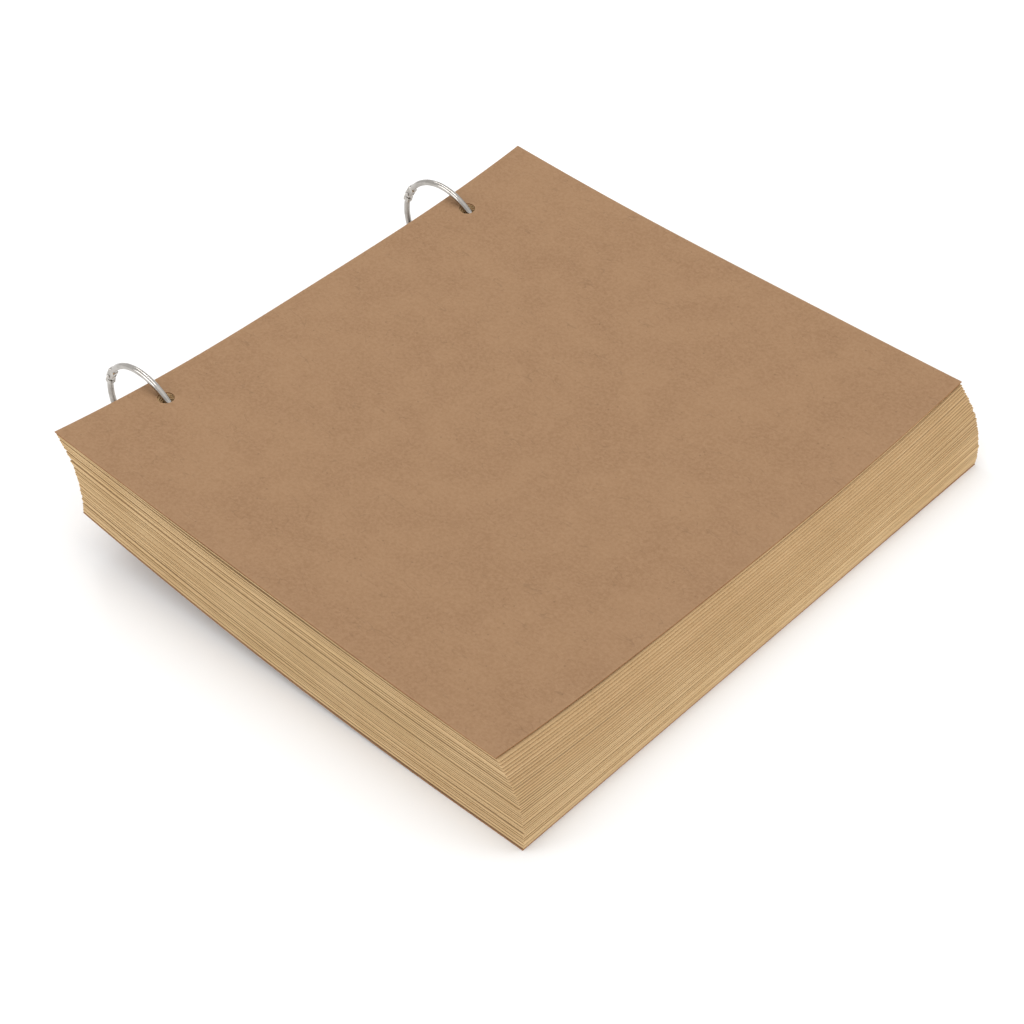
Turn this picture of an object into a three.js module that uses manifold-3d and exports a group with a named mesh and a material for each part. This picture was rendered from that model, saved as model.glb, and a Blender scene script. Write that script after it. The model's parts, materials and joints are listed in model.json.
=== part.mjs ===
// Scrapbook album: a stack of punched kraft sheets held by two hinged book rings.
//
// Millimetres. X runs from the spine edge to the fore edge, Y along the spine from tail to head,
// and Z is up. The origin is on the table, under the middle of the closed album.
//
// The rings stand upright on the table and carry the spine edge of the stack. Every sheet hangs
// on both rings, so it turns about the line through the two ring centres.

import * as THREE from 'three';
import { mergeVertices } from 'three/addons/utils/BufferGeometryUtils.js';
import Module from 'manifold-3d';

// Sheets
const SHEET_WIDTH = 240; // spine edge to fore edge
const SHEET_LENGTH = 260; // tail edge to head edge
const LEAF_COUNT = 40;
const LEAF_THICKNESS = 0.35;
const COVER_THICKNESS = 0.45;
const HOLE_DIAMETER = 7;
const HOLE_INSET = 12; // spine edge to the middle of a hole
const LOW_INSET = 7.5; // the same for the lowest sheet, so the stack leans out at its fore edge
const LOW_SLIDE = -2.5; // the lowest sheet's holes are off centre, so it sits towards the tail
const HOLE_SPACING = 170;
const HOLE_SIDES = 12;

// Rings
const RING_RADIUS = 25; // to the middle of the wire
const WIRE_DIAMETER = 2.7;
const WIRE_SIDES = 8;
const WIRE_STEPS = 24; // along half a ring
const HINGE_ANGLE = 149; // degrees round the ring, from the fore-edge side over the top
const COVER_ANGLE = 50; // where the wire passes through the front cover
const BACK_ANGLE = -20.7; // where it passes through the back cover
const FIT = 0.3; // clearance between pieces that touch

// How the stack lies
const FORE_HEIGHT = 27.5; // top of the stack at the middle of the fore edge
const TOP_SAG = 2; // dip of the front cover between spine and fore edge
const END_CURL = 6; // rise of the top sheets at the head and tail edges
const CURL_POWER = 2.5;
const FLAT_FROM = 215; // from here to the fore edge the back cover lies flat on the table
const HEAD_DRIFT = 0.4; // the top sheets sit towards the head, the lowest towards the tail
const TAIL_DRIFT = -1.4;
const FORE_DRIFT = 0.9; // the lower sheets hang off the outside of the wire
const JITTER = 0.2;

const ringHeight = RING_RADIUS + WIRE_DIAMETER / 2;
const holeEnd = HOLE_SPACING / SHEET_LENGTH; // a hole's place, from 0 mid-spine to 1 at an end
const radians = THREE.MathUtils.degToRad;
const coverHoleHeight = ringHeight + RING_RADIUS * Math.sin(radians(COVER_ANGLE));
const backHoleHeight = ringHeight + RING_RADIUS * Math.sin(radians(BACK_ANGLE));

const wasm = await Module();
wasm.setup();

function toSolid(geometry) {
  const bare = geometry.clone();
  bare.deleteAttribute('normal');
  bare.deleteAttribute('uv');
  const merged = mergeVertices(bare, 1e-4);
  const vertProperties = new Float32Array(merged.attributes.position.array);
  const triVerts = new Uint32Array(merged.index.array);
  return new wasm.Manifold(new wasm.Mesh({ numProp: 3, vertProperties, triVerts }));
}

function toGeometry(solid) {
  const mesh = solid.getMesh();
  const geometry = new THREE.BufferGeometry();
  geometry.setAttribute('position', new THREE.BufferAttribute(mesh.vertProperties, 3));
  geometry.setIndex(new THREE.BufferAttribute(mesh.triVerts, 1));
  geometry.computeVertexNormals();
  return geometry;
}

// ---------------------------------------------------------------- sheets

// Height of the lowest sheet's middle surface, s millimetres from its spine edge.
function lowestHeight(s) {
  const flat = COVER_THICKNESS / 2;
  const rise = (backHoleHeight - flat) / (1 - LOW_INSET / FLAT_FROM) ** 2;
  return flat + rise * Math.max(0, 1 - s / FLAT_FROM) ** 2;
}

// Height of the front cover's middle surface. end is 0 mid-spine, and 1 at the head and tail.
function topHeight(s, end) {
  const sag = (at) => 4 * TOP_SAG * (at / SHEET_WIDTH) * (1 - at / SHEET_WIDTH);
  const curl = (at) => END_CURL * at ** CURL_POWER;
  const holeRise = coverHoleHeight - FORE_HEIGHT + sag(HOLE_INSET) - curl(holeEnd);
  const spineRise = holeRise / (1 - HOLE_INSET / SHEET_WIDTH);
  return FORE_HEIGHT + spineRise * (1 - s / SHEET_WIDTH) - sag(s) + curl(end);
}

// level is 0 at the back cover and 1 at the front cover.
function sheetHeight(level, s, end) {
  return THREE.MathUtils.lerp(lowestHeight(s), topHeight(s, end), level);
}

function scatter(index) {
  const wave = Math.sin(index * 12.9898) * 43758.5453;
  return 2 * (wave - Math.floor(wave)) - 1;
}

// A sheet's offset from the ring axis, so that its holes lie round the wire. A hole high on the ring
// is crossed aslant by the wire, whose bow brings it in from the circle there.
function sheetPlace(level, index) {
  const inset = THREE.MathUtils.lerp(LOW_INSET, HOLE_INSET, level);
  const slide = THREE.MathUtils.lerp(LOW_SLIDE, 0, level);
  const climb = sheetHeight(level, inset, holeEnd) - ringHeight;
  const circle = Math.sqrt(RING_RADIUS ** 2 - climb ** 2);
  const crossing = (HOLE_DIAMETER / 2) * (climb / RING_RADIUS);
  const onWire = circle - crossing ** 2 / (2 * circle);
  const loose = Math.min(1, (1 - level) / 0.4);
  const drift = THREE.MathUtils.lerp(TAIL_DRIFT, HEAD_DRIFT, level) + JITTER * scatter(index + 0.5);
  const x = onWire - inset + loose * (FORE_DRIFT + JITTER * scatter(index));
  return { x, y: slide + drift, inset, slide };
}

// One sheet: a thin box bent to its place in the stack, with two punched holes.
function sheetGeometry(level, index, thickness) {
  const across = [0, HOLE_INSET, 75, 145, FLAT_FROM, SHEET_WIDTH];
  const along = [-1, -holeEnd, 0, holeEnd, 1];
  const place = sheetPlace(level, index);
  const box = new THREE.BoxGeometry(1, 1, 1, across.length - 1, along.length - 1, 1);
  const position = box.attributes.position;
  for (let i = 0; i < position.count; i += 1) {
    const s = across[Math.round((position.getX(i) + 0.5) * (across.length - 1))];
    const end = along[Math.round((position.getY(i) + 0.5) * (along.length - 1))];
    const height = sheetHeight(level, s, Math.abs(end)) + position.getZ(i) * thickness;
    position.setXYZ(i, place.x + s, place.y + (end * SHEET_LENGTH) / 2, height);
  }
  let solid = toSolid(box);
  const punchRadius = HOLE_DIAMETER / 2 / Math.cos(Math.PI / HOLE_SIDES);
  for (const side of [-1, 1]) {
    const punch = new THREE.CylinderGeometry(punchRadius, punchRadius, 6, HOLE_SIDES);
    punch.rotateX(Math.PI / 2);
    const height = sheetHeight(level, place.inset, holeEnd);
    punch.translate(place.x + place.inset, place.y - place.slide + (side * HOLE_SPACING) / 2, height);
    solid = solid.subtract(toSolid(punch));
  }
  return toGeometry(solid);
}

const coverMaterial = new THREE.MeshStandardMaterial({ color: 0xa98867, roughness: 0.9, metalness: 0 });
const leafMaterial = new THREE.MeshStandardMaterial({ color: 0xb99a70, roughness: 0.92, metalness: 0 });

function addSheets(album) {
  const last = LEAF_COUNT + 1;
  for (let index = 0; index <= last; index += 1) {
    const isCover = index === 0 || index === last;
    const thickness = isCover ? COVER_THICKNESS : LEAF_THICKNESS;
    const geometry = sheetGeometry(1 - index / last, index, thickness);
    const sheet = new THREE.Mesh(geometry, isCover ? coverMaterial : leafMaterial);
    sheet.name = `leaf_${String(index).padStart(2, '0')}`;
    if (index === 0) sheet.name = 'front_cover';
    if (index === last) sheet.name = 'back_cover';
    album.add(sheet);
  }
}

// ---------------------------------------------------------------- rings
//
// Each ring is drawn in the XZ plane about its own centre, with the hinge at 180 degrees and the
// snap at 0. The hoop is its upper half and the gate its lower half.

const KNUCKLE_HALF = 1.35; // the flattened ends are this far either side of the wire's middle
const KNUCKLE_DEPTH = 1.4; // and this far either side of the ring's plane
const KNUCKLE_LENGTH = 4.2;
const TONGUE_DEPTH = 0.45;
const EAR_GAP = TONGUE_DEPTH + FIT;
const RIVET_RADIUS = 0.45;
const RIVET_BORE = 0.65;
const RIVET_HEAD = 0.9;
const RIVET_HEAD_HEIGHT = 0.4;
const PIN_RADIUS = 0.55;
const PIN_LENGTH = 2;
const SOCKET_RADIUS = 0.85;
const ROUND_SIDES = 10; // of the small bars and bores

const knuckleAngle = KNUCKLE_LENGTH / RING_RADIUS;
const shoulderAngle = (KNUCKLE_HALF + FIT) / RING_RADIUS;
const seamAngle = FIT / 2 / RING_RADIUS;

class RingArc extends THREE.Curve {
  constructor(start, end) {
    super();
    this.start = start;
    this.end = end;
  }

  getPoint(t) {
    const angle = THREE.MathUtils.lerp(this.start, this.end, t);
    return new THREE.Vector3(RING_RADIUS * Math.cos(angle), 0, RING_RADIUS * Math.sin(angle));
  }
}

function wireSolid(start, end) {
  const section = new THREE.Shape();
  section.absarc(0, 0, WIRE_DIAMETER / 2, 0, 2 * Math.PI);
  const path = new RingArc(start, end);
  const settings = { steps: WIRE_STEPS, curveSegments: WIRE_SIDES / 2, extrudePath: path };
  return toSolid(new THREE.ExtrudeGeometry(section, settings));
}

// A flat plate in the ring's plane, bent with the ring, between two angles measured from the
// hinge. side is 1 for the hoop and -1 for the gate. A plate from 0 has a round end about the rivet.
function plateSolid(side, from, to, depth) {
  const outer = RING_RADIUS + KNUCKLE_HALF;
  const inner = RING_RADIUS - KNUCKLE_HALF;
  const start = Math.PI - from;
  const end = Math.PI - to;
  const outline = new THREE.Shape();
  outline.absarc(0, 0, outer, start, end, true);
  outline.absarc(0, 0, inner, end, start, false);
  if (from === 0) outline.absarc(-RING_RADIUS, 0, KNUCKLE_HALF, 0, -Math.PI, true);
  const settings = { depth: 2 * depth, bevelEnabled: false, curveSegments: 3 };
  const plate = new THREE.ExtrudeGeometry(outline, settings);
  plate.translate(0, 0, -depth);
  plate.rotateX(side * (Math.PI / 2));
  return toSolid(plate);
}

function slotSolid(reach) {
  const slot = new THREE.BoxGeometry(4 * KNUCKLE_HALF, 2 * EAR_GAP, 2 * reach);
  slot.translate(-RING_RADIUS, 0, 0);
  return toSolid(slot);
}

// A round bar from one point to another, used for bores, the socket and the snap pin.
function barSolid(radius, from, to) {
  const length = from.distanceTo(to);
  const bar = new THREE.CylinderGeometry(radius, radius, length, ROUND_SIDES);
  const direction = to.clone().sub(from).normalize();
  const turn = new THREE.Quaternion().setFromUnitVectors(new THREE.Vector3(0, 1, 0), direction);
  bar.applyQuaternion(turn);
  bar.translate(...from.clone().add(to).multiplyScalar(0.5).toArray());
  return toSolid(bar);
}

function rivetBore() {
  const reach = 2 * KNUCKLE_DEPTH;
  const near = new THREE.Vector3(-RING_RADIUS, -reach, 0);
  const far = new THREE.Vector3(-RING_RADIUS, reach, 0);
  return barSolid(RIVET_BORE, near, far);
}

function snapBar(radius, from, to) {
  return barSolid(radius, new THREE.Vector3(RING_RADIUS, 0, from), new THREE.Vector3(RING_RADIUS, 0, to));
}

// The half that goes through the sheets: a fork at the hinge and a socket at the snap.
function hoopGeometry() {
  const wire = wireSolid(seamAngle, Math.PI - knuckleAngle + seamAngle);
  const fork = plateSolid(1, 0, knuckleAngle, KNUCKLE_DEPTH).subtract(slotSolid(KNUCKLE_HALF + FIT));
  const socket = snapBar(SOCKET_RADIUS, -FIT, PIN_LENGTH + FIT);
  return toGeometry(wire.add(fork).subtract(rivetBore()).subtract(socket));
}

// The half that swings open: a tongue at the hinge and a pin at the snap.
function gateGeometry() {
  const wire = wireSolid(Math.PI + knuckleAngle - seamAngle, 2 * Math.PI - seamAngle);
  const shoulder = plateSolid(-1, shoulderAngle, knuckleAngle, KNUCKLE_DEPTH);
  const tongue = plateSolid(-1, 0, knuckleAngle, TONGUE_DEPTH);
  const pin = snapBar(PIN_RADIUS, -PIN_LENGTH, PIN_LENGTH);
  return toGeometry(wire.add(shoulder).add(tongue).subtract(rivetBore()).add(pin));
}

function rivetGeometry() {
  const shank = KNUCKLE_DEPTH + 0.25;
  const tip = shank + RIVET_HEAD_HEIGHT;
  const crown = 0.6 * RIVET_HEAD;
  const half = [[0, tip], [crown, tip], [RIVET_HEAD, shank + 0.15], [RIVET_HEAD, shank], [RIVET_RADIUS, shank]];
  const mirrored = half.map(([radius, height]) => [radius, -height]);
  const profile = [...mirrored, ...half.reverse()].map(([x, y]) => new THREE.Vector2(x, y));
  const rivet = new THREE.LatheGeometry(profile, ROUND_SIDES);
  rivet.translate(-RING_RADIUS, 0, 0);
  return toGeometry(toSolid(rivet));
}

const ringMaterial = new THREE.MeshStandardMaterial({ color: 0xc4bdb2, roughness: 0.18, metalness: 1 });

function addRing(album, name, y) {
  const ring = new THREE.Group();
  ring.position.set(0, y, ringHeight);
  ring.rotation.y = Math.PI - radians(HINGE_ANGLE);
  const pieces = { hoop: hoopGeometry(), gate: gateGeometry(), rivet: rivetGeometry() };
  for (const [piece, geometry] of Object.entries(pieces)) {
    const mesh = new THREE.Mesh(geometry, ringMaterial);
    mesh.name = `${name}_${piece}`;
    ring.add(mesh);
  }
  album.add(ring);
}

// ---------------------------------------------------------------- album

const album = new THREE.Group();
addSheets(album);
addRing(album, 'tail_ring', -HOLE_SPACING / 2);
addRing(album, 'head_ring', HOLE_SPACING / 2);

const extent = new THREE.Box3().setFromObject(album, true);
const middle = extent.getCenter(new THREE.Vector3());
album.position.set(-middle.x, -middle.y, -extent.min.z);

export default album;
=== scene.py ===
"""Looks for the scrapbook album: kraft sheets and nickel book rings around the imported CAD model.

Metres, in the CAD model's own frame: X from the spine edge to the fore edge, Y from tail to head,
Z up. A sheet is level 0 at the back cover and level 1 at the front cover.
"""

import json
import math

import bpy
import numpy as np
from mathutils import Matrix, Vector, geometry


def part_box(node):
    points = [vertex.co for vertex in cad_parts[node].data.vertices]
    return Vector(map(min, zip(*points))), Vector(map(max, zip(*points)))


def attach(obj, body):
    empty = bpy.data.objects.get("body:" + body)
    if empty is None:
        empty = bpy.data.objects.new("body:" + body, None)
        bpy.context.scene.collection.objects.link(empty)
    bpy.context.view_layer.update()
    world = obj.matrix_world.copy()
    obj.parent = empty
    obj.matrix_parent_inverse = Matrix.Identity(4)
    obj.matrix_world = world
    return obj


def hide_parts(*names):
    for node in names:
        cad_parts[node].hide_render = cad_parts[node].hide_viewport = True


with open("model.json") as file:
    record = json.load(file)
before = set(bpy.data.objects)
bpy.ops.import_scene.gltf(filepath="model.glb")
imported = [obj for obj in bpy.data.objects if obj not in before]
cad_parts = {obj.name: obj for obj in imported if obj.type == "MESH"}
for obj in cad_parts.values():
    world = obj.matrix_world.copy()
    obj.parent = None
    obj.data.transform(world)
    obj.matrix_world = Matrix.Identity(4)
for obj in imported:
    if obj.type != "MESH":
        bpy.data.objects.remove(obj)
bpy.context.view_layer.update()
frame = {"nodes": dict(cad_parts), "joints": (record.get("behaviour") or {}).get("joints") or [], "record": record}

MM = 0.001
RNG = np.random.default_rng(17)

# ------------------------------------------------------------------ sizes, as in the CAD model

SHEET_WIDTH = 240 * MM
SHEET_LENGTH = 260 * MM
HOLE_RADIUS = 3.5 * MM
HOLE_INSET = 12 * MM  # from the front cover's spine edge
LOW_INSET = 7.5 * MM  # from the back cover's spine edge
LOW_SLIDE = -2.5 * MM  # how far the back cover has slid along Y from the front cover
HOLE_SPACING = 170 * MM
COVER_THICKNESS = 0.45 * MM
RING_RADIUS = 25 * MM
WIRE_RADIUS = 1.35 * MM
HINGE_ANGLE = 149  # degrees round a ring, up from the fore side, as are the next two
COVER_ANGLE = 50  # where the front cover's holes are
BACK_ANGLE = -20.7  # where the back cover's holes are
FORE_HEIGHT = 27.5 * MM  # of the front cover, in the middle of its fore edge
TOP_SAG = 2 * MM  # of the front cover, between its spine and fore edges
END_CURL = 6 * MM  # how far the front cover rises at head and tail
CURL_POWER = 2.5
FLAT_FROM = 215 * MM  # the back cover lies flat from here to its fore edge

ring_height = RING_RADIUS + WIRE_RADIUS
hole_end = HOLE_SPACING / SHEET_LENGTH

leaf_names = sorted(name for name in frame["nodes"] if name.startswith("leaf_"))
sheet_names = ["front_cover", *leaf_names, "back_cover"]
nodes_of_body = frame["record"]["behaviour"]["bodies"]
body_of_node = {node: body for body, nodes in nodes_of_body.items() for node in nodes}
ring_centres = {
    joint["child"]: Vector(joint["pos_m"])
    for joint in frame["joints"]
    if joint["name"].endswith("_ring_spin")
}


# ------------------------------------------------------------------ mesh helpers


def add_mesh(name, points, faces, materials, face_materials=None, sharp=40):
    """An object from points and faces, smooth except where faces meet at more than sharp degrees."""
    mesh = bpy.data.meshes.new(name)
    mesh.from_pydata([tuple(p) for p in points], [], [tuple(map(int, f)) for f in faces])
    for material in materials:
        mesh.materials.append(material)
    if face_materials is not None:
        mesh.polygons.foreach_set("material_index", np.asarray(face_materials, np.int32))
    mesh.polygons.foreach_set("use_smooth", np.ones(len(mesh.polygons), bool))
    mesh.set_sharp_from_angle(angle=math.radians(sharp))
    mesh.update()
    mesh.validate()
    piece = bpy.data.objects.new(name, mesh)
    bpy.context.scene.collection.objects.link(piece)
    return piece


def add_attribute(piece, name, values):
    """A number on every vertex, for the materials to read."""
    attribute = piece.data.attributes.new(name, "FLOAT", "POINT")
    attribute.data.foreach_set("value", np.asarray(values, np.float32))


# ------------------------------------------------------------------ how the sheets lie

RIPPLE = 0.3 * MM  # how far the top sheets are from flat
RIPPLE_WAVES = ((1, 2.3, 1.4, 0.7), (0.6, 1.2, -3.1, 2.0))  # size, half waves in X and in Y, start in radians
COVER_SKEW = 1.7 * MM  # the front cover is trimmed this much out of square along its fore edge
SKEW_AT_MIDDLE = 0.35  # share of the skew halfway along the fore edge
SHEET_TURN = 0.035  # degrees, how far a sheet is usually turned from square
LEAF_LOOK = 0.62 * MM  # a leaf with the air that clings to it
COVER_LOOK = 0.5 * MM
SHEET_FILL = 0.94  # where the stack is squeezed, the sheets fill this share of its height
GAP_LEAST = 0.3  # the part of every gap that never closes. The part that waves is up to about 1
GAP_SPREAD = 0.6  # how unequal the gaps are
GAP_WAVES = 3
GAP_WAVE_X = 3.4  # most half waves from spine to fore edge
GAP_WAVE_Y = 4.6  # most half waves from tail to head
GAP_SHARPNESS = 3  # how quickly a gap closes away from its widest places
TOP_GAPS = [6.0, 3.0, 2.0]  # the top sheets lie loosest


def lowest_height(s):
    """Height of the back cover's middle surface, s from its spine edge."""
    flat = COVER_THICKNESS / 2
    hole_height = ring_height + RING_RADIUS * math.sin(math.radians(BACK_ANGLE))
    rise = (hole_height - flat) / (1 - LOW_INSET / FLAT_FROM) ** 2
    return flat + rise * np.maximum(0, 1 - s / FLAT_FROM) ** 2


def top_height(s, end):
    """Height of the front cover's middle surface. end is 0 mid-spine and 1 at head and tail."""

    def sag(at):
        return 4 * TOP_SAG * (at / SHEET_WIDTH) * (1 - at / SHEET_WIDTH)

    def curl(at):
        return END_CURL * np.abs(at) ** CURL_POWER

    hole_height = ring_height + RING_RADIUS * math.sin(math.radians(COVER_ANGLE))
    hole_rise = hole_height - FORE_HEIGHT + sag(HOLE_INSET) - curl(hole_end)
    spine_rise = hole_rise / (1 - HOLE_INSET / SHEET_WIDTH)
    return FORE_HEIGHT + spine_rise * (1 - s / SHEET_WIDTH) - sag(s) + curl(end)


def ripple(s, t):
    """A slight lie of the top sheets, which are not quite flat."""
    u = math.pi * s / SHEET_WIDTH
    v = math.pi * t / SHEET_LENGTH
    waves = [size * np.sin(in_x * u + in_y * v + start) for size, in_x, in_y, start in RIPPLE_WAVES]
    return RIPPLE * sum(waves)


sheet_count = len(sheet_names)
thicknesses = np.full(sheet_count, LEAF_LOOK)
thicknesses[[0, -1]] = COVER_LOOK
gap_count = sheet_count - 1
gap_burst = np.exp(GAP_SPREAD * RNG.standard_normal(gap_count))
gap_burst[: len(TOP_GAPS)] = TOP_GAPS
wave_x = RNG.uniform(-GAP_WAVE_X, GAP_WAVE_X, (gap_count, GAP_WAVES))
wave_y = RNG.uniform(-GAP_WAVE_Y, GAP_WAVE_Y, (gap_count, GAP_WAVES))
wave_shift = RNG.uniform(0, 2 * math.pi, (gap_count, GAP_WAVES))


front_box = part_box("front_cover")
back_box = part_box("back_cover")


def place_on(box, x, y):
    """Where (x, y) lies on the sheet with this box, from its spine edge and from its middle."""
    low, high = box
    return (x - low.x) * SHEET_WIDTH / (high.x - low.x), y - (low.y + high.y) / 2


def gap_shares(s, t):
    """How the free height at (s, t) is shared between the gaps, one row for each gap."""
    u = s / SHEET_WIDTH
    v = t / SHEET_LENGTH
    phase = math.pi * (wave_x[:, :, None] * u + wave_y[:, :, None] * v) + wave_shift[:, :, None]
    swell = 0.5 + 0.5 * np.cos(phase).mean(axis=1)
    shares = GAP_LEAST + gap_burst[:, None] * swell**GAP_SHARPNESS
    return shares / shares.sum(axis=0)


def stack(x, y):
    """Heights of every sheet's middle surface at points (x, y), and their thicknesses, top sheet first."""
    s, t = place_on(front_box, x, y)
    top = top_height(s, np.abs(t) / (SHEET_LENGTH / 2)) + ripple(s, t)
    bottom = lowest_height(place_on(back_box, x, y)[0])
    room = top - bottom
    full = ((thicknesses[:-1] + thicknesses[1:]) / 2).sum()
    thick = thicknesses[:, None] * np.minimum(1, SHEET_FILL * room / full)
    between = (thick[:-1] + thick[1:]) / 2
    drop = between + gap_shares(s, t) * (room - between.sum(axis=0))
    return np.vstack([top, top - np.cumsum(drop, axis=0)]), thick


# ------------------------------------------------------------------ sheets

HOLE_STEPS = 28
COLLAR = 1.5  # a ring of points round each hole, in hole radii
COLLAR_CLEAR = 1.9  # the plain grid stays this far from a hole, in hole radii
PULL_REACH = 11.5 * MM  # moving a hole moves the sheet round it, out to here
PULL_FADE = 7 * MM  # the width over which that fades
INSIDE_HOLE = 0.99  # a triangle whose middle is nearer than this to a hole's, in hole radii, is in the hole


def circle(centre, radius, steps):
    return [(centre.x + radius * math.cos(a), centre.y + radius * math.sin(a)) for a in steps]


def sheet_plan(spacing):
    """Points and triangles of a flat sheet with two holes, and its outlines as rings of point numbers."""
    half = SHEET_LENGTH / 2
    across = np.linspace(0, SHEET_WIDTH, round(SHEET_WIDTH / spacing) + 1)
    along = np.linspace(-half, half, round(SHEET_LENGTH / spacing) + 1)
    centres = [Vector((HOLE_INSET, side * HOLE_SPACING / 2)) for side in (-1, 1)]
    outline = [(s, -half) for s in across[:-1]] + [(SHEET_WIDTH, t) for t in along[:-1]]
    outline += [(s, half) for s in across[:0:-1]] + [(0, t) for t in along[:0:-1]]
    points = list(outline)
    loops = [list(range(len(outline)))]
    steps = np.linspace(0, 2 * math.pi, HOLE_STEPS, endpoint=False)
    for centre in centres:
        first = len(points)
        points += circle(centre, HOLE_RADIUS, steps)
        loops.append(list(range(first, first + HOLE_STEPS))[::-1])
        points += circle(centre, HOLE_RADIUS * COLLAR, steps[::2])
    for s in across[1:-1]:
        for t in along[1:-1]:
            if min((Vector((s, t)) - centre).length for centre in centres) > HOLE_RADIUS * COLLAR_CLEAR:
                points.append((s, t))
    edges = [(loop[i], loop[(i + 1) % len(loop)]) for loop in loops for i in range(len(loop))]
    flat, _, faces, _, _, _ = geometry.delaunay_2d_cdt([Vector(p) for p in points], edges, [], 0, 1e-7)
    kept = []
    for face in faces:
        middle = sum((flat[i] for i in face), Vector((0, 0))) / 3
        if min((middle - centre).length for centre in centres) > HOLE_RADIUS * INSIDE_HOLE:
            kept.append(face)
    return np.array([tuple(p) for p in flat]), kept, loops


def rim_distance(plan):
    """How far each point is from the nearest edge of the sheet or of a hole."""
    s, t = plan[:, 0], plan[:, 1]
    half = SHEET_LENGTH / 2
    rim = np.minimum.reduce([s, SHEET_WIDTH - s, half - t, half + t])
    for side in (-1, 1):
        hole = np.hypot(s - HOLE_INSET, t - side * HOLE_SPACING / 2) - HOLE_RADIUS
        rim = np.minimum(rim, hole)
    return np.maximum(rim, 0)


def shift_holes(plan, level):
    """The plan with its holes moved to where this sheet is punched."""
    moved = plan.copy()
    move_s = (1 - level) * (LOW_INSET - HOLE_INSET)
    move_t = (1 - level) * -LOW_SLIDE
    for side in (-1, 1):
        reach = np.hypot(plan[:, 0] - HOLE_INSET, plan[:, 1] - side * HOLE_SPACING / 2)
        pull = np.clip((PULL_REACH - reach) / PULL_FADE, 0, 1)
        moved[:, 0] += pull * move_s
        moved[:, 1] += pull * move_t
    return moved


def add_sheet(index, plan, faces, loops, materials):
    """One sheet of the stack, standing for its CAD node and riding on that node's body."""
    node = sheet_names[index]
    low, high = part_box(node)
    level = 1 - index / (sheet_count - 1)
    flat = shift_holes(plan, level)
    width = high.x - low.x
    s, t = flat[:, 0], flat[:, 1]
    turn = math.radians(SHEET_TURN) * RNG.standard_normal()
    skew = COVER_SKEW if node == "front_cover" else 0
    x = low.x + s * (width / SHEET_WIDTH) - turn * t
    x += skew * (s / SHEET_WIDTH) * (SKEW_AT_MIDDLE + t / SHEET_LENGTH)
    y = (low.y + high.y) / 2 + t + turn * (s - SHEET_WIDTH / 2)
    heights, thick = stack(x, y)
    middle = heights[index]
    half = thick[index] / 2
    top = np.column_stack([x, y, middle + half])
    bottom = np.column_stack([x, y, middle - half])
    count = len(flat)
    skins = [tuple(f) for f in faces] + [tuple(i + count for i in reversed(f)) for f in faces]
    walls = []
    for loop in loops:
        for here, after in zip(loop, loop[1:] + loop[:1]):
            walls.append((here, here + count, after + count, after))
    slots = [0] * len(skins) + [1] * len(walls)
    piece = add_mesh(f"sheet_{node}", np.vstack([top, bottom]), skins + walls, materials, slots)
    rim = rim_distance(plan)
    add_attribute(piece, "rim", np.concatenate([rim, rim]) / MM)
    add_attribute(piece, "tone", np.full(2 * count, RNG.uniform(0, 1)))
    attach(piece, body_of_node[node])
    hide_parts(node)


# ------------------------------------------------------------------ rings
#
# A ring is drawn in the XZ plane about its own centre, with the hinge at 180 degrees and the snap
# at 0, then turned so that its hinge is at HINGE_ANGLE.

SECTION_STEPS = 28
KNUCKLE_HALF = 1.75 * MM  # half of the flattened end's width, in the ring's plane
KNUCKLE_DEPTH = 1.55 * MM  # half of its thickness, across the ring
KNUCKLE_LENGTH = 4.2 * MM
KNUCKLE_BLEND = 0.9 * MM  # length over which the round wire turns into the flat knuckle
KNUCKLE_SQUARE = 5.5  # 2 is a round section, and more is squarer
ROUND = 2
WIRE_STEPS = 56
EAR_GAP = 0.75 * MM  # half of the fork's slot
TONGUE_DEPTH = 0.45 * MM  # half of the tongue's thickness
RIVET_BORE = 0.62 * MM
RIVET_PROUD = 0.02 * MM  # the rivet's heads start this far off the knuckle
# radius and height in millimetres, from the shank to the bottom of the dimple
RIVET_HEAD = [(0.45, 0), (0.95, 0), (1.0, 0.1), (0.92, 0.24), (0.7, 0.36), (0.4, 0.4), (0.25, 0.3), (0, 0.27)]
CRIMPS = 2  # grooves across the gate's flattened end
CRIMP_DEPTH = 0.16 * MM
CRIMP_STEPS = 16
PIN_RADIUS = 0.55 * MM
PIN_LENGTH = 2 * MM
PIN_TIP = 0.3 * MM
SOCKET_RADIUS = 0.85 * MM
SOCKET_DEPTH = 2.2 * MM
SOCKET_LIP = 0.1 * MM  # bevel of its mouth
END_CHAMFER = 0.15 * MM
POINT = 0.02 * MM  # as good as a point
SEAM = 0.15 * MM  # each half ring stops this far short of where they meet
FIT = 0.3 * MM  # room for the gate to turn in the fork
SNAP_MARGIN = 3  # degrees from the snap to the first plain section of the wire
SATIN_PAST = 0.5 * MM  # the duller finish ends this far past the knuckle
HOOP_SOFTNESS = 0.1 * MM  # how far sharp edges are rounded
GATE_SOFTNESS = 0.08 * MM
BORE_REACH = 4 * MM  # the cutters reach this far, well past the metal
SLOT_REACH = 5 * MM


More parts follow.
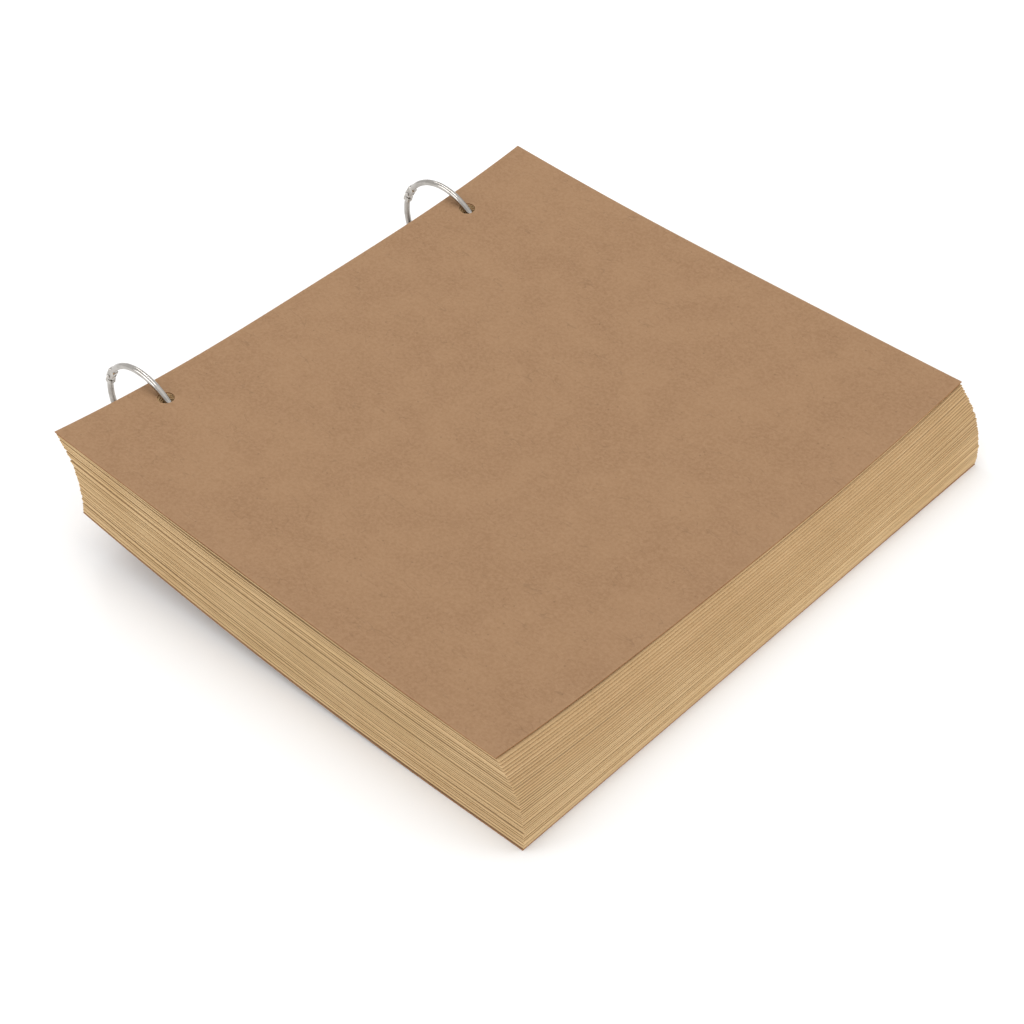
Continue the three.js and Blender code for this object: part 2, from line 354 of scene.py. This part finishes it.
def section(angle, slide, radial, depth, power):
    """A closed ring of points round the wire at angle, moved slide along the wire's direction.

    radial and depth are its half sizes in the ring's plane and across it.
    """
    turn = math.radians(angle)
    outward = np.array([math.cos(turn), 0, math.sin(turn)])
    onward = np.array([-math.sin(turn), 0, math.cos(turn)])
    sideways = np.array([0, 1, 0])
    steps = np.linspace(0, 2 * math.pi, SECTION_STEPS, endpoint=False)
    cos, sin = np.cos(steps), np.sin(steps)
    a = radial * np.sign(cos) * np.abs(cos) ** (2 / power)
    b = depth * np.sign(sin) * np.abs(sin) ** (2 / power)
    centre = RING_RADIUS * outward + slide * onward
    return centre + a[:, None] * outward + b[:, None] * sideways


def swept(name, stations, material):
    """A closed body through a list of sections, capped at both ends."""
    rows = [section(*station) for station in stations]
    points = np.vstack(rows)
    n = SECTION_STEPS
    faces = []
    for row in range(len(rows) - 1):
        for k in range(n):
            here, after = row * n + k, row * n + (k + 1) % n
            faces.append((here, after, after + n, here + n))
    faces.append(tuple(range(n))[::-1])
    faces.append(tuple(range(len(points) - n, len(points))))
    return add_mesh(name, points, faces, [material])


def degrees_along(length):
    """The angle that a length of wire takes up on the ring."""
    return math.degrees(length / RING_RADIUS)


def round_stations(angle, steps):
    """Round sections at one angle, from (slide, radius) pairs."""
    return [(angle, slide, radius, radius, ROUND) for slide, radius in steps]


def wire_stations(first, last):
    """Sections of plain wire between two angles."""
    return [(angle, 0, WIRE_RADIUS, WIRE_RADIUS, ROUND) for angle in np.linspace(first, last, WIRE_STEPS)]


def knuckle_stations(side):
    """Sections from the round wire into the flattened end, ending square at the hinge.

    side is 1 for the hoop, which comes up to the hinge from below 180 degrees, and -1 for the gate.
    """
    stations = []
    start = 180 - side * degrees_along(KNUCKLE_LENGTH + KNUCKLE_BLEND)
    stop = 180 - side * degrees_along(KNUCKLE_LENGTH)
    for share in np.linspace(0, 1, 6):
        ease = share * share * (3 - 2 * share)
        radial = WIRE_RADIUS + (KNUCKLE_HALF - WIRE_RADIUS) * ease
        depth = WIRE_RADIUS + (KNUCKLE_DEPTH - WIRE_RADIUS) * ease
        power = ROUND + (KNUCKLE_SQUARE - ROUND) * ease
        stations.append((start + share * (stop - start), 0, radial, depth, power))
    return stations


def round_end(side, depth):
    """Sections that round off the flattened end about the rivet."""
    stations = []
    for lift in np.linspace(0, 85, 8):
        reach = side * KNUCKLE_HALF * math.sin(math.radians(lift))
        half = KNUCKLE_HALF * math.cos(math.radians(lift))
        stations.append((180, reach, half, depth, KNUCKLE_SQUARE))
    return stations


def apply_modifiers(piece):
    """Turns what the modifiers make of a piece into its own mesh."""
    bpy.context.view_layer.update()
    evaluated = piece.evaluated_get(bpy.context.evaluated_depsgraph_get())
    mesh = bpy.data.meshes.new_from_object(evaluated)
    piece.modifiers.clear()
    piece.data = mesh


def cut(piece, cutter):
    """Takes cutter's shape out of piece for good."""
    modifier = piece.modifiers.new("cut", "BOOLEAN")
    modifier.operation = "DIFFERENCE"
    modifier.solver = "EXACT"
    modifier.object = cutter
    apply_modifiers(piece)
    bpy.data.objects.remove(cutter)


def soften(piece, width, segments=2):
    """Rounds a piece's sharp edges."""
    modifier = piece.modifiers.new("soften", "BEVEL")
    modifier.width = width
    modifier.segments = segments
    modifier.limit_method = "ANGLE"
    modifier.angle_limit = math.radians(50)
    modifier.use_clamp_overlap = True
    apply_modifiers(piece)
    piece.data.polygons.foreach_set("use_smooth", np.ones(len(piece.data.polygons), bool))
    piece.data.set_sharp_from_angle(angle=math.radians(35))


def satin_knuckle(piece, material):
    """Gives the stamped end of a half ring its duller finish."""
    piece.data.materials.append(material)
    reach = degrees_along(KNUCKLE_LENGTH + SATIN_PAST)
    for face in piece.data.polygons:
        angle = math.degrees(math.atan2(face.center.z, face.center.x)) % 360
        face.material_index = 1 if abs(angle - 180) < reach else 0


def box_solid(low, high):
    """A box to cut with."""
    corners = [(x, y, z) for x in (low[0], high[0]) for y in (low[1], high[1]) for z in (low[2], high[2])]
    faces = [(0, 1, 3, 2), (4, 6, 7, 5), (0, 4, 5, 1), (2, 3, 7, 6), (0, 2, 6, 4), (1, 5, 7, 3)]
    return add_mesh("cutter", corners, faces, [])


def turned(name, profile, centre, materials):
    """A solid turned about a line along Y through centre. profile lists (radius, y) from axis to axis."""
    steps = np.linspace(0, 2 * math.pi, 24, endpoint=False)
    points = []
    rings = []
    for radius, y in profile:
        if radius == 0:
            rings.append([len(points)])
            points.append((centre.x, y, centre.z))
            continue
        rings.append(list(range(len(points), len(points) + len(steps))))
        points += [(centre.x + radius * math.sin(a), y, centre.z + radius * math.cos(a)) for a in steps]
    faces = []
    for lower, upper in zip(rings, rings[1:]):
        for k in range(len(steps)):
            after = (k + 1) % len(steps)
            face = [lower[k % len(lower)], lower[after % len(lower)]]
            face += [upper[after % len(upper)], upper[k % len(upper)]]
            faces.append(tuple(dict.fromkeys(face)))
    return add_mesh(name, points, faces, materials)


def rivet_bore():
    """A rod to cut the rivet's hole with."""
    hinge = Vector((-RING_RADIUS, 0, 0))
    profile = [(0, -BORE_REACH), (RIVET_BORE, -BORE_REACH), (RIVET_BORE, BORE_REACH), (0, BORE_REACH)]
    return turned("cutter", profile, hinge, [])


def hoop_piece(name, material, stamped):
    """The half ring through the sheets: a socket at the snap and a fork at the hinge."""
    rest = degrees_along(SEAM)
    socket = [(SOCKET_DEPTH, POINT), (SOCKET_DEPTH, SOCKET_RADIUS), (SOCKET_LIP, SOCKET_RADIUS)]
    socket += [(0, SOCKET_RADIUS + SOCKET_LIP), (0, WIRE_RADIUS - END_CHAMFER), (END_CHAMFER, WIRE_RADIUS)]
    stations = round_stations(rest, socket)
    knuckle = knuckle_stations(1)
    stations += wire_stations(SNAP_MARGIN, knuckle[0][0] - 1)
    stations += knuckle + round_end(1, KNUCKLE_DEPTH)
    piece = swept(name, stations, material)
    low = (-RING_RADIUS - SLOT_REACH, -EAR_GAP, -BORE_REACH)
    high = (-RING_RADIUS + SLOT_REACH, EAR_GAP, KNUCKLE_HALF + FIT)
    cut(piece, box_solid(low, high))
    cut(piece, rivet_bore())
    soften(piece, HOOP_SOFTNESS)
    satin_knuckle(piece, stamped)
    return piece


def gate_piece(name, material, stamped):
    """The half ring that swings open: a tongue at the hinge and a pin at the snap."""
    rest = 360 - degrees_along(SEAM)
    shoulder = 180 + degrees_along(KNUCKLE_HALF + FIT)
    stations = round_end(-1, TONGUE_DEPTH)[::-1]
    for depth in (TONGUE_DEPTH, KNUCKLE_DEPTH):
        stations.append((shoulder, 0, KNUCKLE_HALF, depth, KNUCKLE_SQUARE))
    for share in np.linspace(0, 1, CRIMP_STEPS)[1:-1]:
        angle = shoulder + share * degrees_along(KNUCKLE_LENGTH - KNUCKLE_HALF - FIT)
        groove = CRIMP_DEPTH * (0.5 - 0.5 * math.cos(2 * math.pi * CRIMPS * share))
        stations.append((angle, 0, KNUCKLE_HALF - groove, KNUCKLE_DEPTH - groove, KNUCKLE_SQUARE))
    knuckle = knuckle_stations(-1)[::-1]
    stations += knuckle
    stations += wire_stations(knuckle[-1][0] + 1, 360 - SNAP_MARGIN)
    pin = [(-END_CHAMFER, WIRE_RADIUS), (0, WIRE_RADIUS - END_CHAMFER), (0, PIN_RADIUS)]
    pin += [(0.4 * PIN_LENGTH, PIN_RADIUS), (0.8 * PIN_LENGTH, PIN_RADIUS), (PIN_LENGTH, PIN_TIP)]
    stations += round_stations(rest, pin)
    piece = swept(name, stations, material)
    cut(piece, rivet_bore())
    soften(piece, GATE_SOFTNESS)
    satin_knuckle(piece, stamped)
    return piece


def rivet_piece(name, material):
    """A headed pin through the fork and the tongue, with a dimple where it was set."""
    shank = KNUCKLE_DEPTH + RIVET_PROUD
    upper = [(radius * MM, shank + rise * MM) for radius, rise in RIVET_HEAD]
    lower = [(radius, -height) for radius, height in reversed(upper)]
    return turned(name, lower + upper, Vector((-RING_RADIUS, 0, 0)), [material])


def add_ring(end, materials):
    """The three pieces of the ring at the head or the tail."""
    ring = f"{end}_ring"
    wire, stamped = materials["wire"], materials["stamped"]
    turn = Matrix.Rotation(math.radians(180 - HINGE_ANGLE), 4, "Y")
    place = Matrix.Translation(ring_centres[ring]) @ turn
    pieces = {
        "hoop": (hoop_piece(f"{end}_hoop", wire, stamped), ring),
        "gate": (gate_piece(f"{end}_gate_wire", wire, stamped), f"{end}_gate"),
        "rivet": (rivet_piece(f"{end}_rivet", materials["rivet"]), ring),
    }
    for part, (piece, body) in pieces.items():
        piece.data.transform(place)
        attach(piece, body)
        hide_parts(f"{ring}_{part}")


# ------------------------------------------------------------------ materials


def shade(value, *rest):
    """A colour given as sRGB from 0 to 255, in the linear numbers that shaders take."""
    return [*(((c / 255 + 0.055) / 1.055) ** 2.4 for c in (value, *rest)), 1]


class Wiring:
    """Adds nodes to one tree and joins them."""

    def __init__(self, tree):
        self.tree = tree

    def add(self, kind, settings=None, **sockets):
        """A new node. A socket is a value or another node's output."""
        node = self.tree.nodes.new(kind)
        for key, value in (settings or {}).items():
            setattr(node, key, value)
        for key, value in sockets.items():
            self.put(value, node.inputs[key.replace("_", " ")])
        return node

    def put(self, value, socket):
        if isinstance(value, bpy.types.NodeSocket):
            self.tree.links.new(value, socket)
        else:
            socket.default_value = value

    def math(self, operation, a, b=0.5, clamp=False):
        node = self.tree.nodes.new("ShaderNodeMath")
        node.operation = operation
        node.use_clamp = clamp
        self.put(a, node.inputs[0])
        self.put(b, node.inputs[1])
        return node.outputs[0]

    def between(self, value, low, high, to_low=0.0, to_high=1.0):
        """value, from low to high, spread smoothly from to_low to to_high."""
        node = self.tree.nodes.new("ShaderNodeMapRange")
        node.interpolation_type = "SMOOTHSTEP"
        for socket, given in zip(node.inputs, (value, low, high, to_low, to_high)):
            self.put(given, socket)
        return node.outputs[0]

    def mix(self, share, a, b, blend="MIX"):
        node = self.tree.nodes.new("ShaderNodeMix")
        node.data_type = "RGBA"
        node.blend_type = blend
        self.put(share, node.inputs[0])
        self.put(a, node.inputs[6])
        self.put(b, node.inputs[7])
        return node.outputs[2]

    def noise(self, vector, scale, detail=2.0, roughness=0.5, distortion=0.0):
        sockets = {"Vector": vector, "Scale": scale, "Detail": detail}
        sockets |= {"Roughness": roughness, "Distortion": distortion}
        return self.add("ShaderNodeTexNoise", **sockets).outputs["Fac"]

    def stretched(self, vector, scale, turn=0.0):
        """vector turned about Z and then scaled by a different amount each way."""
        node = self.tree.nodes.new("ShaderNodeMapping")
        self.put(vector, node.inputs["Vector"])
        node.inputs["Rotation"].default_value = (0, 0, math.radians(turn))
        node.inputs["Scale"].default_value = scale
        return node.outputs[0]


def new_group(name, inputs, outputs):
    """An empty node group with named sockets. inputs maps a name to (type, default)."""
    tree = bpy.data.node_groups.new(name, "ShaderNodeTree")
    for socket_name, (kind, default) in inputs.items():
        socket = tree.interface.new_socket(socket_name, in_out="INPUT", socket_type=f"NodeSocket{kind}")
        if default is not None:
            socket.default_value = default
    for socket_name, kind in outputs.items():
        tree.interface.new_socket(socket_name, in_out="OUTPUT", socket_type=f"NodeSocket{kind}")
    return tree, Wiring(tree), tree.nodes.new("NodeGroupInput"), tree.nodes.new("NodeGroupOutput")


def fibre_group():
    """Short curved paper fibres: a light mask, a dark mask and a height."""
    inputs = {"Vector": ("Vector", None), "Scale": ("Float", 260.0), "Spread": ("Float", 0.5)}
    outputs = {"Light": "Float", "Dark": "Float", "Height": "Float"}
    tree, w, given, result = new_group("paper_fibres", inputs, outputs)
    scale = given.outputs["Scale"]
    masks = []
    for turn, share in ((12, 1.0), (74, 1.37), (-38, 0.83)):
        vector = w.stretched(given.outputs["Vector"], (0.34, 1, 1), turn)
        wander = w.noise(vector, w.math("MULTIPLY", scale, share), 1.0, 0.4, 0.25)
        thread = w.between(w.math("ABSOLUTE", w.math("SUBTRACT", wander, 0.5)), 0.0, 0.016, 1.0, 0.0)
        broken = w.noise(vector, w.math("MULTIPLY", scale, 0.9 * share), 0.0)
        masks.append(w.math("MULTIPLY", thread, w.between(broken, given.outputs["Spread"], 0.66)))
    light = w.math("MAXIMUM", masks[0], masks[1])
    w.put(light, result.inputs["Light"])
    w.put(masks[2], result.inputs["Dark"])
    w.put(w.math("SUBTRACT", light, w.math("MULTIPLY", masks[2], 0.6)), result.inputs["Height"])
    return tree


def mottle_group():
    """Soft cloudy variation: a wide and a fine value, each about 0.5."""
    inputs = {"Vector": ("Vector", None), "Scale": ("Float", 60.0)}
    tree, w, given, result = new_group("paper_mottle", inputs, {"Wide": "Float", "Fine": "Float"})
    vector = given.outputs["Vector"]
    scale = given.outputs["Scale"]
    w.put(w.noise(vector, scale, 3.0, 0.55), result.inputs["Wide"])
    w.put(w.noise(vector, w.math("MULTIPLY", scale, 14.0), 3.0, 0.6), result.inputs["Fine"])
    return tree


def speck_group():
    """Sparse flecks of bark: a mask."""
    inputs = {"Vector": ("Vector", None), "Scale": ("Float", 420.0), "Amount": ("Float", 0.05)}
    tree, w, given, result = new_group("paper_specks", inputs, {"Mask": "Float"})
    cells = w.add("ShaderNodeTexVoronoi", Vector=given.outputs["Vector"], Scale=given.outputs["Scale"])
    lot = w.add("ShaderNodeSeparateColor", Color=cells.outputs["Color"]).outputs[0]
    chosen = w.math("LESS_THAN", lot, given.outputs["Amount"])
    spot = w.between(cells.outputs["Distance"], 0.12, 0.3, 1.0, 0.0)
    w.put(w.math("MULTIPLY", spot, chosen), result.inputs["Mask"])
    return tree


def rim_group():
    """How worn a sheet is near its edges, from the distance stored on its points, in millimetres."""
    inputs = {"Vector": ("Vector", None), "Reach": ("Float", 1.5)}
    tree, w, given, result = new_group("paper_rim", inputs, {"Mask": "Float"})
    rim = w.add("ShaderNodeAttribute", {"attribute_name": "rim"}).outputs["Fac"]
    ragged = w.between(w.noise(given.outputs["Vector"], 900.0, 2.0), 0.2, 0.8, 0.4, 1.6)
    near = w.math("DIVIDE", rim, w.math("MULTIPLY", given.outputs["Reach"], ragged))
    w.put(w.between(near, 0.0, 1.0, 1.0, 0.0), result.inputs["Mask"])
    return tree


groups = {
    "fibres": fibre_group(),
    "mottle": mottle_group(),
    "specks": speck_group(),
    "rim": rim_group(),
}


def new_material(name):
    material = bpy.data.materials.new(name)
    material.use_nodes = True
    tree = material.node_tree
    shader = tree.nodes["Principled BSDF"]
    return material, Wiring(tree), shader


def place_group(w, name, **sockets):
    """One of the shared effects, with its own values."""
    node = w.tree.nodes.new("ShaderNodeGroup")
    node.node_tree = groups[name]
    for key, value in sockets.items():
        w.put(value, node.inputs[key])
    return node


def bump(w, shader, height, distance, strength=1.0):
    node = w.add("ShaderNodeBump", Height=height, Distance=distance, Strength=strength)
    w.put(node.outputs["Normal"], shader.inputs["Normal"])


def kraft_face(name, base, light, dark, tone_swing):
    """An uncoated kraft surface: mottling, fibres, bark flecks and a paler worn rim."""
    material, w, shader = new_material(name)
    place = w.add("ShaderNodeTexCoord").outputs["Object"]
    mottle = place_group(w, "mottle", Vector=place, Scale=55.0)
    fibres = place_group(w, "fibres", Vector=place, Scale=310.0, Spread=0.46)
    hairs = place_group(w, "fibres", Vector=place, Scale=900.0, Spread=0.42)
    specks = place_group(w, "specks", Vector=place, Scale=560.0, Amount=0.02)
    rim = place_group(w, "rim", Vector=place, Reach=1.2)
    wide = w.between(mottle.outputs["Wide"], 0.3, 0.7)
    fine = w.between(mottle.outputs["Fine"], 0.25, 0.75)
    colour = w.mix(wide, shade(*dark), shade(*base))
    colour = w.mix(w.math("MULTIPLY", fine, 0.6), colour, shade(*light))
    colour = w.mix(w.math("MULTIPLY", fibres.outputs["Light"], 0.5), colour, shade(*light))
    colour = w.mix(w.math("MULTIPLY", hairs.outputs["Light"], 0.35), colour, shade(*light))
    darker = [c * 0.62 for c in shade(*dark)[:3]] + [1]
    colour = w.mix(w.math("MULTIPLY", fibres.outputs["Dark"], 0.3), colour, darker)
    colour = w.mix(w.math("MULTIPLY", hairs.outputs["Dark"], 0.22), colour, darker)
    colour = w.mix(w.math("MULTIPLY", specks.outputs["Mask"], 0.45), colour, darker)
    colour = w.mix(w.math("MULTIPLY", rim.outputs["Mask"], 0.35), colour, shade(*light))
    tone = w.add("ShaderNodeAttribute", {"attribute_name": "tone"}).outputs["Fac"]
    duller = [1 - tone_swing, 1 - tone_swing, 1 - 1.3 * tone_swing, 1]
    colour = w.mix(1.0, colour, w.mix(tone, duller, [1, 1, 1, 1]), "MULTIPLY")
    w.put(colour, shader.inputs["Base Color"])
    w.put(w.between(fine, 0.0, 1.0, 0.93, 0.8), shader.inputs["Roughness"])
    shader.inputs["Specular IOR Level"].default_value = 0.25
    height = w.math("ADD", w.math("MULTIPLY", fibres.outputs["Height"], 0.5), w.math("MULTIPLY", fine, 0.7))
    height = w.math("ADD", height, w.math("MULTIPLY", hairs.outputs["Height"], 0.3))
    bump(w, shader, height, 0.06 * MM, 0.6)
    return material


def kraft_edge(name, base, light, dark):
    """The cut edge of a sheet: paler, with plies along it and loose fibres."""
    material, w, shader = new_material(name)
    place = w.add("ShaderNodeTexCoord").outputs["Object"]
    plies = w.noise(w.stretched(place, (1, 1, 42)), 75.0, 3.0, 0.6)
    clouds = w.noise(place, 38.0, 2.0)
    fuzz = w.noise(w.stretched(place, (1, 1, 2.5)), 1500.0, 2.0, 0.7)
    colour = w.mix(w.between(plies, 0.3, 0.7), shade(*dark), shade(*base))
    colour = w.mix(w.math("MULTIPLY", w.between(clouds, 0.3, 0.7), 0.5), colour, shade(*light))
    colour = w.mix(w.math("MULTIPLY", w.between(fuzz, 0.45, 0.8), 0.4), colour, shade(*light))
    tone = w.add("ShaderNodeAttribute", {"attribute_name": "tone"}).outputs["Fac"]
    duller, brighter = [0.93, 0.92, 0.9, 1], [1.03, 1.03, 1.03, 1]
    colour = w.mix(1.0, colour, w.mix(tone, duller, brighter), "MULTIPLY")
    w.put(colour, shader.inputs["Base Color"])
    w.put(w.between(fuzz, 0.2, 0.8, 0.96, 0.84), shader.inputs["Roughness"])
    shader.inputs["Specular IOR Level"].default_value = 0.2
    bump(w, shader, w.math("ADD", plies, w.math("MULTIPLY", fuzz, 0.6)), 0.12 * MM, 0.7)
    return material


def nickel(name, base, worn, rough_low, rough_high, grain):
    """Plated steel: faint drawing lines round the wire, handling marks and tiny pits."""
    material, w, shader = new_material(name)
    place = w.add("ShaderNodeTexCoord").outputs["Object"]
    smudge = w.between(w.noise(place, 220.0, 3.0, 0.6), 0.3, 0.75)
    lines = w.noise(w.stretched(place, (1, 5, 1)), 2600.0, 2.0, 0.6)
    pits = w.add("ShaderNodeTexVoronoi", Vector=place, Scale=2400.0).outputs["Distance"]
    pit_mask = w.between(pits, 0.02, 0.14, 1.0, 0.0)
    colour = w.mix(smudge, shade(*base), shade(*worn))
    tarnish = [0.2, 0.18, 0.16, 1]
    colour = w.mix(w.math("MULTIPLY", pit_mask, 0.3), colour, tarnish)
    w.put(colour, shader.inputs["Base Color"])
    shader.inputs["Metallic"].default_value = 1
    rough = w.between(smudge, 0.0, 1.0, rough_low, rough_high)
    rough = w.math("ADD", rough, w.math("MULTIPLY", pit_mask, 0.2))
    w.put(rough, shader.inputs["Roughness"])
    bump(w, shader, w.math("SUBTRACT", lines, pit_mask), 0.01 * MM * grain, 0.5)
    return material


cover_face = kraft_face("kraft_cover_face", (146, 114, 84), (157, 124, 93), (139, 107, 78), 0.0)
leaf_face = kraft_face("kraft_leaf_face", (178, 147, 107), (190, 160, 120), (170, 138, 99), 0.06)
cover_edge = kraft_edge("kraft_cover_edge", (160, 114, 78), (176, 132, 94), (132, 88, 58))
leaf_edge = kraft_edge("kraft_leaf_edge", (204, 173, 129), (215, 186, 143), (194, 162, 117))
ring_wire = nickel("bright_nickel", (182, 178, 173), (158, 153, 147), 0.07, 0.18, 1.0)
ring_stamped = nickel("stamped_nickel", (196, 192, 186), (160, 155, 149), 0.28, 0.44, 3.0)
ring_rivet = nickel("set_rivet_nickel", (196, 192, 187), (166, 161, 155), 0.14, 0.28, 2.0)


# ------------------------------------------------------------------ the album

LEAF_GRID = 7 * MM
COVER_GRID = 4 * MM
leaf_plan = sheet_plan(LEAF_GRID)
cover_plan = sheet_plan(COVER_GRID)
for number, sheet_name in enumerate(sheet_names):
    if sheet_name.endswith("cover"):
        add_sheet(number, *cover_plan, [cover_face, cover_edge])
    else:
        add_sheet(number, *leaf_plan, [leaf_face, leaf_edge])
for album_end in ("tail", "head"):
    add_ring(album_end, {"wire": ring_wire, "stamped": ring_stamped, "rivet": ring_rivet})


# ------------------------------------------------------------------ floor, light and camera

CAMERA_AZIMUTH = 48.17
CAMERA_ELEVATION = 41.06
CAMERA_ROLL = -5.96
CAMERA_PLACE = Vector((0.4989, -0.4410, 0.5630))
FOCAL_SHARE = 2.099  # focal length over the width of the sensor
SENSOR_WIDTH = 36
FLOOR_HALF = 12.0
WORLD_STRENGTH = 0.9


def add_floor():
    """A plain pale floor that runs out of sight."""
    material, w, shader = new_material("pale_floor")
    place = w.add("ShaderNodeTexCoord").outputs["Object"]
    cloud = w.between(w.noise(place, 3.0, 2.0), 0.3, 0.7)
    w.put(w.mix(cloud, [0.86, 0.86, 0.86, 1], [0.88, 0.88, 0.88, 1]), shader.inputs["Base Color"])
    shader.inputs["Roughness"].default_value = 0.7
    corners = [(x * FLOOR_HALF, y * FLOOR_HALF, 0) for x, y in ((-1, -1), (1, -1), (1, 1), (-1, 1))]
    floor = add_mesh("floor", corners, [(0, 1, 2, 3)], [material])


def add_softbox(name, place, size, watts, aim=(0, 0, 0.02)):
    """A rectangular lamp, not seen itself, turned towards aim."""
    light = bpy.data.lights.new(name, "AREA")
    light.shape = "RECTANGLE"
    light.size, light.size_y = size
    light.energy = watts
    lamp = bpy.data.objects.new(name, light)
    lamp.location = place
    lamp.rotation_euler = (Vector(aim) - Vector(place)).to_track_quat("-Z", "Y").to_euler()
    lamp.visible_camera = False
    bpy.context.scene.collection.objects.link(lamp)


def add_camera():
    azimuth, elevation, roll = (math.radians(a) for a in (CAMERA_AZIMUTH, CAMERA_ELEVATION, CAMERA_ROLL))
    flat = math.cos(elevation)
    back = Vector((math.sin(azimuth) * flat, -math.cos(azimuth) * flat, math.sin(elevation)))
    right = Vector((math.cos(azimuth), math.sin(azimuth), 0))
    up = back.cross(right)
    level = Matrix((right, up, back)).transposed()
    camera = bpy.data.cameras.new("camera")
    camera.sensor_width = SENSOR_WIDTH
    camera.lens = FOCAL_SHARE * SENSOR_WIDTH
    seen_by = bpy.data.objects.new("camera", camera)
    facing = level @ Matrix.Rotation(roll, 3, "Z")
    seen_by.matrix_world = Matrix.Translation(CAMERA_PLACE) @ facing.to_4x4()
    bpy.context.scene.collection.objects.link(seen_by)
    bpy.context.scene.camera = seen_by


def add_world():
    """Even white light from all round."""
    world = bpy.data.worlds.new("studio")
    world.use_nodes = True
    background = world.node_tree.nodes["Background"]
    background.inputs["Color"].default_value = (1, 1, 1, 1)
    background.inputs["Strength"].default_value = WORLD_STRENGTH
    bpy.context.scene.world = world


add_floor()
add_softbox("overhead", (0.1, 0.1, 1.5), (1.8, 1.8), 4)
add_softbox("tail_side", (-0.55, -0.8, 0.5), (0.6, 0.5), 2.2)
add_softbox("fore_side", (0.75, 0.55, 0.5), (0.6, 0.5), 2.2)
add_softbox("strip", (-0.5, 0.2, 1.0), (0.1, 1.2), 3.0)
add_camera()
add_world()
bpy.context.scene.view_settings.view_transform = "Standard"
